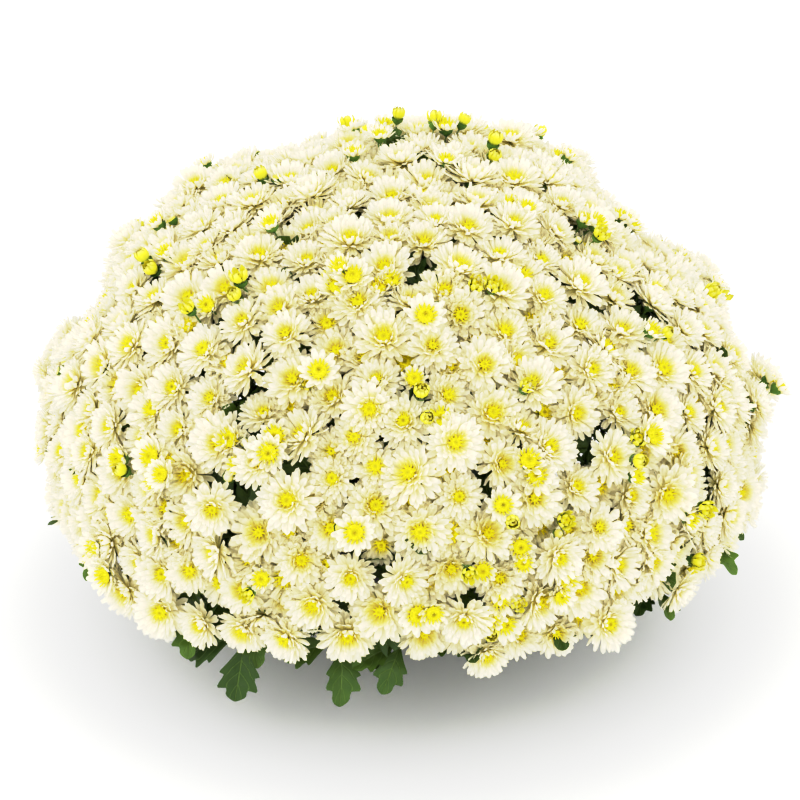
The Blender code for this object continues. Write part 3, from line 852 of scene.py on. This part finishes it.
def beside(units, distance):
    """Directions a given way along the dome from others."""
    steps = rng.normal(0.0, 1.0, units.shape)
    steps -= (steps * units).sum(axis=1)[:, None] * units
    steps *= distance / np.linalg.norm(steps, axis=1)[:, None]
    moved = units * SPHEROID + steps
    moved = moved / SPHEROID
    moved[:, 2] = np.maximum(moved[:, 2], LOWEST_HEIGHT)
    return moved / np.linalg.norm(moved, axis=1)[:, None]


rims = np.where(is_young, 0.010, 0.017)
more_open = fill_gaps(units, rims, FILL_OPEN, 0.0165)
all_units = np.concatenate([units, more_open])
all_rims = np.concatenate([rims, np.full(FILL_OPEN, 0.0165)])
in_gaps = fill_gaps(all_units, all_rims, FILL_YOUNG_PAIRS, 0.012)
partners = beside(np.concatenate([units[is_young], in_gaps]), 0.0115)
print("open flowers:", int((~is_young).sum()) + FILL_OPEN, "young:", int(is_young.sum()) + len(in_gaps)
      + len(partners))

# %% [markdown]
# ## Give every head its place, lean and age
# No real dome is a perfect spheroid. The plant is fuller at some places and thinner at others,
# and single heads stand proud or sit back. Those differences are what makes the outline look
# grown, so they are written down as a short list of swellings, with a few millimetres of
# chance for each head.

# %% Swellings of the dome, and the list of heads
VIEW_DOWN = math.radians(27.0)
OUTLINE = (-22.0, 4.0, -18.0, 3.0, 1.0, -6.0, 0.0, 0.0, 0.0, 0.0, 0.0, 0.0,
           0.0, 10.0, 8.1, 2.7, -22.0, -21.0, -5.0, -6.0, 0.0, -22.0, -6.0, -6.0,
           -5.0, -12.0, -15.0, -7.0, -8.0, 0.0, -7.0, -34.0, -14.0, -10.0, -20.0, -3.0)
SINGLE_HEADS = ((5.0, -8.0, 6.0), (15.0, 9.0, 4.0), (22.0, -10.0, 5.0), (210.0, -25.0, 7.0), (230.0, -8.0, 5.0),
                (275.0, 8.0, 4.0), (309.0, -24.0, 9.0), (326.0, 10.0, 4.0), (343.0, -14.0, 5.0),
                (349.0, 16.0, 4.0))
LOWER_EDGE = ((212.0, 12.0, 9.0), (235.0, 10.0, 8.0), (262.0, -6.0, 9.0), (283.0, 13.0, 4.0), (296.0, 8.0, 5.0), (307.0, -11.0, 5.0))


def swelling(unit):
    """How far the dome stands out here, in metres: a grown outline, fading across the dome."""
    normal = unit / SPHEROID
    normal = normal / np.linalg.norm(normal)
    up = normal[1] * math.sin(VIEW_DOWN) + normal[2] * math.cos(VIEW_DOWN)
    towards = -normal[1] * math.cos(VIEW_DOWN) + normal[2] * math.sin(VIEW_DOWN)
    clock = math.degrees(math.atan2(-up, normal[0])) % 360.0
    grown = np.interp(clock, np.arange(0.0, 361.0, 10.0), (*OUTLINE, OUTLINE[0]))
    for degrees, millimetres, width in SINGLE_HEADS:
        grown += millimetres * math.exp(-((clock - degrees) / width) ** 2)
    fade = math.exp(-(math.degrees(math.asin(max(-1.0, min(1.0, towards)))) / 24.0) ** 2)
    return 0.001 * float(grown) * fade + 0.004 * noise.noise(Vector(unit) * 3.1)


def sagging(height, around):
    """How far the lowest flowers hang below the dome's edge, in metres."""
    turned = math.degrees(around) % 360.0
    hang = sum(millimetres * math.exp(-((turned - degrees) / width) ** 2)
               for degrees, millimetres, width in LOWER_EDGE)
    return 0.001 * hang * max(0.0, 1.0 - (height - LOWEST_HEIGHT) / 0.16)


class Head:
    """One flower or bud: its pattern, its size, its place and its axis."""

    def __init__(self, unit, pattern, size, depth, lean, kind):
        self.height = float(unit[2])
        self.around = math.atan2(unit[1], unit[0]) % math.tau
        self.pattern = pattern
        self.size = size
        self.kind = kind
        out, east, north = dome_frame(self.height, self.around)
        self.foot_depth = depth - swelling(unit)
        self.foot = dome_point(self.height, self.around, self.foot_depth)
        self.foot.z -= sagging(self.height, self.around)
        raised = (out + Vector((0.0, 0.0, 0.16 * (1.0 - max(0.0, self.height))))).normalized()
        sway = rng.uniform(0.0, math.tau)
        tip = math.tan(math.radians(lean))
        self.axis = (raised + (east * math.cos(sway) + north * math.sin(sway)) * tip).normalized()
        side = self.axis.orthogonal().normalized()
        upright = Matrix((side, self.axis.cross(side), self.axis)).transposed().to_4x4()
        roll = Matrix.Rotation(rng.uniform(0.0, math.tau), 4, "Z")
        self.place = Matrix.Translation(self.foot) @ upright @ roll @ Matrix.Scale(size, 4)
        edges = ring_edges()
        self.ring = next((r for r in range(len(RING_SPRAYS)) if self.height >= edges[r + 1]), 3)
        self.spray = int(self.around // (math.tau / RING_SPRAYS[self.ring])) % RING_SPRAYS[self.ring]


def open_head(unit, patterns, depth, grown):
    pattern = patterns[rng.integers(len(patterns))]
    proud = rng.uniform(0.003, 0.009) if rng.random() < 0.12 else 0.0
    lean = abs(rng.normal(0.0, 15.0))
    return Head(unit, pattern, grown * rng.uniform(0.92, 1.22), depth - proud, min(lean, 34.0), "open")


def young_head(unit):
    pick_one = rng.random()
    if pick_one < 0.52:
        return Head(unit, young_blooms[rng.integers(2)], rng.uniform(1.00, 1.35),
                    rng.uniform(-0.002, 0.010), rng.uniform(0.0, 18.0), "young")
    if pick_one < 0.84:
        return Head(unit, opening_buds[rng.integers(2)], rng.uniform(0.95, 1.30),
                    rng.uniform(-0.005, 0.010), rng.uniform(0.0, 20.0), "bud")
    return Head(unit, round_bud, rng.uniform(0.80, 1.10), rng.uniform(0.004, 0.015),
                rng.uniform(0.0, 25.0), "bud")


OPEN_GAP_EVERY = 7
heads = [open_head(unit, full_blooms, rng.uniform(0.0108, 0.0195), 1.07) for unit in units[~is_young]]
between = [open_head(unit, full_blooms[2:] + plain_blooms, rng.uniform(0.0165, 0.0240), 0.98)
           for unit in more_open]
heads += [head for number, head in enumerate(between) if number % OPEN_GAP_EVERY]
open_gaps = more_open[::OPEN_GAP_EVERY]
heads += [young_head(unit) for unit in (*units[is_young], *in_gaps, *partners)]
print("heads in all:", len(heads))

# %% [markdown]
# ## Branches and stalks
# A spray is one branch that splits into thin stalks, one to each flower. The branches follow
# the same points as in the CAD model, so each spray hangs on its own plant. A stalk leaves the
# end of its branch and turns outwards under its flower. Curves with a round bevel are the
# natural way to draw both, and they are turned into meshes once they are drawn.

# %% Draw tubes along paths
PLANTS = 5
STEM_CIRCLE = 0.052
FORK_Z = 0.155
FORK_STEP = 0.0022
BRANCH_RADII = (0.0036, 0.0033, 0.0029, 0.0026)
BRANCH_END_RUN = 0.030
BRANCH_END_GAP = 0.0008
BRANCH_BEND = 0.45
LOW_BRANCH_RISE = 0.025


def polar(radius, around, z):
    return Vector((radius * math.cos(around), radius * math.sin(around), z))


def spray_middle(ring, spray):
    """Height and turn of the spray's middle."""
    if RING_SPRAYS[ring] == 1:
        return 1.0, 0.0
    edges = ring_edges()
    latitude = (math.asin(edges[ring]) + math.asin(edges[ring + 1])) / 2
    return math.sin(latitude), math.tau / RING_SPRAYS[ring] * (spray + 0.5)


def branch_points(ring, spray, stem_turn, fork_z):
    """From the fork in the stem to just under the middle of the spray."""
    height, around = spray_middle(ring, spray)
    out, _, _ = dome_frame(height, around)
    start = polar(STEM_CIRCLE, stem_turn, fork_z)
    end = dome_point(height, around, CORE_MIDDLE_DEPTH) - out * BRANCH_END_GAP
    near_end = end - out * BRANCH_END_RUN
    bend = start.lerp(near_end, BRANCH_BEND)
    if ring == len(RING_SPRAYS) - 1:
        bend.z += LOW_BRANCH_RISE
    return [start, bend, near_end, end]


def own_sprays(number):
    own = [(0, 0)] if number == 0 else []
    for ring, count in enumerate(RING_SPRAYS[1:], start=1):
        share = count // PLANTS
        own += [(ring, spray) for spray in range(number * share, (number + 1) * share)]
    return own


def smooth_path(points, steps):
    """Points of one smooth curve through the given ones."""
    whole = [points[0] * 2 - points[1], *points, points[-1] * 2 - points[-2]]
    path = []
    for a, b, c, d in zip(whole, whole[1:], whole[2:], whole[3:]):
        for k in range(steps):
            t = k / steps
            path.append(0.5 * (2 * b + (c - a) * t + (2 * a - 5 * b + 4 * c - d) * t * t
                               + (3 * b - a - 3 * c + d) * t ** 3))
    return path + [points[-1]]


def arc(start, bend, end, shares):
    """Points on the curve that leaves start towards bend and comes in to end from bend."""
    return [start * (1 - t) ** 2 + bend * 2 * t * (1 - t) + end * t * t for t in shares]


def make_tubes(name, paths, roundness, finish):
    """One mesh of round tubes along (points, first radius, last radius) paths."""
    curve = bpy.data.curves.new(name, "CURVE")
    curve.dimensions = "3D"
    curve.bevel_depth = 0.001
    curve.bevel_resolution = roundness
    curve.use_fill_caps = True
    for points, first, last in paths:
        line = curve.splines.new("POLY")
        line.points.add(len(points) - 1)
        for k, (knot, point) in enumerate(zip(line.points, points)):
            knot.co = (*point, 1.0)
            knot.radius = 1000.0 * (first + (last - first) * k / (len(points) - 1))
    thing = bpy.data.objects.new(name, curve)
    bpy.context.collection.objects.link(thing)
    clear_selection()
    thing.select_set(True)
    bpy.context.view_layer.objects.active = thing
    bpy.ops.object.convert(target="MESH")
    bpy.ops.object.shade_smooth()
    return set_finish(bpy.context.object, finish)


branches = {}
for plant in range(PLANTS):
    for step, (ring, spray) in enumerate(own_sprays(plant)):
        stem_turn = math.tau / PLANTS * (plant + 0.5)
        points = branch_points(ring, spray, stem_turn, FORK_Z + FORK_STEP * step)
        branches[ring, spray] = (plant, points)
print("branches:", len(branches))

# %% [markdown]
# ## Put the sprays together
# Each head is copied from its pattern, given its own tone, and joined with the others of its
# spray, so that the scene holds one piece of flowers and one of stalks for each spray of the
# CAD model. The stalks remember their middle points, because leaves will grow from them.

# %% Copy the heads on to their sprays


def stalk_path(head, points):
    """From the branch's end run to the foot of the flower's calyx."""
    near_end, end = points[2], points[3]
    low = head.foot - head.axis * 0.005 * head.size
    sideways = (low - end).length
    leaves_at = near_end.lerp(end, max(0.0, 1.0 - sideways / 0.075) * rng.uniform(0.75, 1.0))
    under = low - head.axis * min(0.030, 0.45 * (low - leaves_at).length)
    return arc(leaves_at, under, low, (0.0, 0.30, 0.62, 1.0))


def add_tones(thing, low, high):
    note(thing, "tone", rng.uniform(low, high))
    return thing


TONES = {"open": (0.0, 1.0), "young": (0.0, 0.7), "bud": (0.0, 0.5)}
leaf_roots = []
number = 0
for ring, count in enumerate(RING_SPRAYS):
    for spray in range(count):
        number += 1
        own = [head for head in heads if head.ring == ring and head.spray == spray]
        copies = [add_tones(copy_of(head.pattern, head.place), *TONES[head.kind]) for head in own]
        flowers = joined(copies, f"flowers_{number:02d}")
        plant, points = branches[ring, spray]
        paths = []
        for head in own:
            path = stalk_path(head, points)
            thick = 0.00075 if head.kind == "open" else 0.00060
            paths.append((path, 1.25 * thick, thick))
            leaf_roots.append((plant, path[1], path[2], head))
        stalks = make_tubes(f"stalks_{number:02d}", paths, 0, green_finish)
        for piece, slot in ((flowers, "cream_petals"), (stalks, "green_plant")):
            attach(piece, "root")
            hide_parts(f"spray_{number:02d}")
put_away(*petals, bloom_eye, young_eye, bloom_calyx, young_calyx, closed_bud)
put_away(*full_blooms, *plain_blooms, *young)
made = [o for o in bpy.data.objects if o.name.startswith(("flowers_", "stalks_"))]
print("sprays:", number, "triangles:", count_triangles(made))

# %% [markdown]
# ## One lobed leaf
# A chrysanthemum leaf widens from its stalk and ends in a broad lobe between two pairs of
# rounded ones, with notches between them. The blade starts as a grid as the petal did, but its
# rows swing wide and narrow to cut the lobes, and their ends are pushed forward, so that the
# lobes point to the tip. The blade is arched along its length, with its margins raised a
# little on both sides of the midrib.

# %% Shape the leaves
LEAF_ROWS = ((0.0, 0.5, 0.0), (6.5, 0.8, 0.0), (10.5, 4.4, 2.5), (15.0, 8.6, 4.5), (18.0, 13.0, 6.5),
             (20.5, 7.0, 2.5), (23.0, 11.0, 6.0), (26.0, 12.0, 7.0), (29.0, 4.6, 0.8), (33.0, 6.6, 1.5),
             (37.5, 3.4, -1.5))


def make_leaf(name, sag, channel, columns):
    """A lobed blade 37 mm long, with its stalk at the origin and its tip along +Y."""
    rows = [(reach, half, 1.6 * math.sin(reach / 36.0 * math.pi) - sag * (reach / 36.0) ** 2
             + 0.5 * math.sin(reach * 1.1), channel * half / 10.0, forward)
            for reach, half, forward in LEAF_ROWS]
    return make_blade(name, rows, columns, leaf_finish)


def round_off(leaf):
    """Subdivides a leaf once, which rounds its lobes."""
    bpy.context.view_layer.objects.active = leaf
    rounder = leaf.modifiers.new("round lobes", "SUBSURF")
    rounder.levels = 1
    rounder.render_levels = 1
    bpy.ops.object.modifier_apply(modifier=rounder.name)
    return leaf


shade_leaves = [make_leaf("shade_leaf_flat", 2.0, 2.0, 2), make_leaf("shade_leaf_arched", 7.0, 3.0, 2)]
skirt_leaves = [round_off(make_leaf("skirt_leaf_flat", 4.0, 2.5, 4)),
                round_off(make_leaf("skirt_leaf_arched", 9.0, 3.5, 4)),
                round_off(make_leaf("skirt_leaf_hanging", 14.0, 2.0, 4))]
leaves = shade_leaves + skirt_leaves
print("leaf faces:", [len(leaf.data.polygons) for leaf in leaves])

# %% [markdown]
# ## Foliage under the flowers
# Through the gaps between the flowers only leaves in deep shade are seen, and from below they
# close the dome. Each grows from a stalk, about two centimetres under the flowers, and lies
# roughly along the dome. A skirt of larger leaves hangs from the low branches, below the
# dome's edge, as in the CAD model: each of its long leaves is a leaf stalk there that carries
# several lobed leaves here.

# %% Grow the leaves of each plant
SHOOT_RADIUS = 0.0021
SHOOT_FROM = 0.62
SHOOT_END = (0.224, 0.124)
SKIRT_LEAF_BEND = (0.256, 0.107)
SKIRT_LEAF_TIP = (0.289, 0.086)
SKIRT_LEAF_TURNS = (-11.5, 0.0, 11.5)
SKIRT_LEAF_FROM = 0.84
SKIRT_LEAF_STEP = 0.05


def leaf_place(root, tip, up, length):
    """Matrix that lays the 36 mm leaf from root towards tip, facing up."""
    along = (tip - root).normalized()
    side = along.cross(up).normalized()
    face = side.cross(along)
    upright = Matrix((side, along, face)).transposed().to_4x4()
    return Matrix.Translation(root) @ upright @ Matrix.Scale(length / 0.036, 4)


def grow_leaf(root, tip, up, length, tone, patterns):
    leaf = copy_of(patterns[rng.integers(len(patterns))], leaf_place(root, tip, up, length))
    note(leaf, "tone", tone)
    return leaf


SHADE_LEAVES = 1900
leafy_spots = [(spot, 0.029, 0.048) for spot in start_sites(SHADE_LEAVES)]
leafy_spots += [(spot, 0.025, 0.036) for spot in open_gaps] * 3
foliage = {plant: [] for plant in range(PLANTS)}
root_places = np.array([root for _, low, high, _ in leaf_roots for root in (low, high)])
for spot, least_depth, most_depth in leafy_spots:
    height, around = float(spot[2]), math.atan2(spot[1], spot[0])
    out, east, north = dome_frame(height, around)
    middle = dome_point(height, around, rng.uniform(least_depth, most_depth) - swelling(spot))
    apart = np.linalg.norm(root_places - np.array(middle), axis=1)
    nearest = np.argsort(apart)[rng.integers(0, 3)]
    plant = leaf_roots[nearest // 2][0]
    root = Vector(root_places[nearest])
    length = min(0.066, max(0.036, (middle - root).length / 0.62))
    sway = east * rng.normal(0.0, 0.25) + north * rng.normal(0.0, 0.25)
    leaf = grow_leaf(root, middle, out + sway, length, rng.uniform(0.0, 0.7), shade_leaves)
    foliage[plant].append(leaf)


def skirt_twig(root, leaf_turn, plant):
    """A leaf stalk under the dome's edge, with its lobed leaves."""
    hanging = math.exp(-((math.degrees(leaf_turn) % 360.0 - 246.0) / 14.0) ** 2)
    bend = polar(SKIRT_LEAF_BEND[0], leaf_turn, SKIRT_LEAF_BEND[1])
    drop = rng.uniform(0.020, 0.034) * (1.0 - 0.90 * hanging)
    tip = polar(SKIRT_LEAF_TIP[0] - 0.6 * drop, leaf_turn, SKIRT_LEAF_TIP[1] + drop)
    path = arc(root, bend, tip, (0.0, 0.2, 0.4, 0.62))
    shoots[plant].append((path, 0.0013, 0.0008))
    outward = polar(1.0, leaf_turn, 0.0)
    sideways = Vector((-math.sin(leaf_turn), math.cos(leaf_turn), 0.0))
    for knot, swing in ((path[3], rng.uniform(-0.5, 0.5)), (path[3], rng.choice((-1.2, 1.2))),
                        (path[2], rng.uniform(0.6, 1.2)), (path[1], rng.uniform(-1.2, -0.6))):
        fall = Vector((0.0, 0.0, rng.uniform(-0.2, 0.3) - 0.65 * hanging))
        aim_at = knot + outward * rng.uniform(0.5, 0.9) + sideways * swing + fall
        up = Vector((0.0, 0.0, 1.0)) + outward * 0.6 + sideways * rng.normal(0.0, 0.35)
        length = rng.uniform(0.030, 0.040) + 0.009 * hanging
        foliage[plant].append(grow_leaf(knot, aim_at, up, length, rng.uniform(0.0, 1.0), skirt_leaves))


rng = np.random.default_rng(23)
shoots = {plant: [] for plant in range(PLANTS)}
for (ring, spray), (plant, points) in branches.items():
    if ring == len(RING_SPRAYS) - 1:
        _, around = spray_middle(ring, spray)
        start = points[1].lerp(points[2], SHOOT_FROM)
        end = polar(SHOOT_END[0], around, SHOOT_END[1])
        shoots[plant].append((smooth_path([start, start.lerp(end, 0.5), end], 4),
                              SHOOT_RADIUS, 0.7 * SHOOT_RADIUS))
        for k, degrees in enumerate(SKIRT_LEAF_TURNS):
            root = start.lerp(end, SKIRT_LEAF_FROM + SKIRT_LEAF_STEP * k)
            skirt_twig(root, around + math.radians(degrees), plant)

STEM_TOP_Z = 0.172
STEM_RADIUS = 0.0055
STEM_FOOT_Z = 0.1004
for plant in range(PLANTS):
    stem_turn = math.tau / PLANTS * (plant + 0.5)
    foot = polar(STEM_CIRCLE, stem_turn, STEM_FOOT_Z)
    top = polar(STEM_CIRCLE, stem_turn, STEM_TOP_Z)
    paths = [(smooth_path([foot, foot.lerp(top, 0.5), top], 4), STEM_RADIUS, 0.8 * STEM_RADIUS)]
    for owner, points in branches.values():
        if owner == plant:
            paths.append((smooth_path(points, 5), BRANCH_RADII[0], BRANCH_RADII[-1]))
    stems = make_tubes(f"stems_{plant + 1}", paths + shoots[plant], 2, stem_finish)
    canopy = joined(foliage[plant], f"leaves_{plant + 1}")
    for piece in (stems, canopy):
        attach(piece, "root")
        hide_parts(f"plant_{plant + 1}")
put_away(*leaves)
made = [o for o in bpy.data.objects if o.name.startswith(("leaves_", "stems_"))]
print("leaves:", sum(len(own) for own in foliage.values()), "triangles:", count_triangles(made))

# %% [markdown]
# ## The pot
# A nursery pot is a thin tapered shell with a stepped rim, which lets pots stack, and holes in
# its floor. It is drawn as a potter would throw it: a disc is extruded upwards and widened
# step by step, goes over the rim, and comes down inside to the floor. Four drain holes are
# then cut through.

# %% Throw the pot
POT_HEIGHT = 0.155
POT_RIM_RADIUS = 0.125
POT_BASE_RADIUS = 0.088
POT_WALL = 0.0020


def wall_radius(z):
    """Outer radius of the pot's wall at a height."""
    return POT_BASE_RADIUS + (0.1205 - POT_BASE_RADIUS) * z / POT_HEIGHT


def throw(name, first, steps, sides, finish):
    """Extrudes a disc through (radius, height) steps, which closes into a solid."""
    radius, level = first
    bpy.ops.mesh.primitive_circle_add(vertices=sides, radius=radius, fill_type="NGON",
                                      location=(0.0, 0.0, 0.0))
    thing = bpy.context.object
    start_editing(thing)
    pick(thing, lambda co: True)
    bpy.ops.transform.translate(value=(0.0, 0.0, level))
    for next_radius, next_level in steps:
        bpy.ops.mesh.extrude_region_move(
            TRANSFORM_OT_translate={"value": (0.0, 0.0, next_level - level)})
        share = next_radius / radius
        bpy.ops.transform.resize(value=(share, share, 1.0))
        radius, level = next_radius, next_level
    bpy.ops.mesh.select_all(action="SELECT")
    bpy.ops.mesh.normals_make_consistent(inside=False)
    stop_editing()
    thing.name = name
    return set_finish(thing, finish)


def finish_smooth(thing, degrees):
    clear_selection()
    thing.select_set(True)
    bpy.context.view_layer.objects.active = thing
    bpy.ops.object.shade_smooth_by_angle(angle=math.radians(degrees))


inner = [(wall_radius(z) - POT_WALL, z) for z in (0.150, 0.137, 0.100, 0.060, 0.020, 0.006)]
pot = throw("pot_body", (0.0868, 0.0), [
    (0.0878, 0.0004), (0.0882, 0.0012), (wall_radius(0.012), 0.012), (wall_radius(0.013) - 0.0006, 0.013),
    (wall_radius(0.014), 0.014), (wall_radius(0.060), 0.060), (wall_radius(0.100), 0.100),
    (wall_radius(0.1345), 0.1345), (wall_radius(0.136) + 0.0006, 0.1362), (0.1235, 0.1370),
    (0.1246, 0.1374), (0.1250, 0.1386), (0.1248, 0.1460), (0.1250, 0.1526), (0.1247, 0.1542),
    (0.1238, 0.1550), (0.1206, 0.1550), (0.1194, 0.1545), *inner,
    (wall_radius(0.004) - POT_WALL - 0.0015, 0.0027), (0.030, 0.0025)], 96, pot_finish)
for k in range(4):
    hole = polar(0.058, math.tau * (k + 0.5) / 4, 0.0)
    bpy.ops.mesh.primitive_cylinder_add(vertices=24, radius=0.007, depth=0.02, location=hole)
    cutter = bpy.context.object
    cut = pot.modifiers.new("drain hole", "BOOLEAN")
    cut.operation = "DIFFERENCE"
    cut.object = cutter
    bpy.context.view_layer.objects.active = pot
    bpy.ops.object.modifier_apply(modifier=cut.name)
    put_away(cutter)
finish_smooth(pot, 35.0)
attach(pot, "root")
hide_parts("pot")
print("pot triangles:", count_triangles([pot]))

# %% [markdown]
# ## The soil
# Peat settles in small hollows and heaps, with crumbs and white perlite grains on top. The
# body is thrown like the pot, its top is inset to get rings of points, and a cloud texture
# pushes those up and down. A rough crumb is one icosphere with its points shaken, and it is
# copied over the surface.

# %% Fill the pot
SOIL_TOP_Z = 0.138


def soil_top(x, y):
    """Height of the soil's surface: hollows and heaps, level again at the wall."""
    calm = min(1.0, max(0.0, (0.113 - math.hypot(x, y)) / 0.02))
    return SOIL_TOP_Z - 0.002 + 0.0035 * calm * (noise.noise(Vector((x, y, 0.3)) * 45.0))


soil = throw("soil_body", (wall_radius(0.003) - 0.0036, 0.0030),
             [(wall_radius(0.060) - 0.0024, 0.060), (wall_radius(SOIL_TOP_Z) - 0.0024, SOIL_TOP_Z - 0.002)],
             64, soil_finish)
start_editing(soil)
bpy.context.tool_settings.mesh_select_mode = (False, False, True)
shape = bmesh.from_edit_mesh(soil.data)
for face in shape.faces:
    face.select = face.normal.z > 0.9
bmesh.update_edit_mesh(soil.data)
for ring in range(14):
    bpy.ops.mesh.inset(thickness=0.0078)
shape = bmesh.from_edit_mesh(soil.data)
for point in shape.verts:
    if point.co.z > 0.130:
        point.co.z = soil_top(point.co.x, point.co.y)
bmesh.update_edit_mesh(soil.data)
stop_editing()
finish_smooth(soil, 60.0)

bpy.ops.mesh.primitive_ico_sphere_add(subdivisions=1, radius=0.0019, location=(0.0, 0.0, 0.0))
crumb = bpy.context.object
start_editing(crumb)
pick(crumb, lambda co: True)
bpy.ops.transform.vertex_random(offset=0.0006, uniform=0.5, normal=0.2, seed=4)
bpy.ops.transform.resize(value=(1.2, 0.9, 0.7))
stop_editing()
crumbs = []
for finish, count in ((soil_finish, 170), (grit_finish, 46)):
    set_finish(crumb, finish)
    for _ in range(count):
        reach = 0.112 * math.sqrt(rng.random())
        around = rng.uniform(0.0, math.tau)
        x, y = reach * math.cos(around), reach * math.sin(around)
        place = shift(x, y, soil_top(x, y)) @ turn("Z", rng.uniform(0.0, 360.0))
        crumbs.append(copy_of(crumb, place @ turn("X", rng.uniform(0.0, 360.0))
                              @ Matrix.Scale(rng.uniform(0.5, 1.4), 4)))
put_away(crumb)
loose = joined(crumbs, "soil_crumbs")
for piece in (soil, loose):
    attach(piece, "root")
    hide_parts("soil")
print("soil triangles:", count_triangles([soil, loose]))
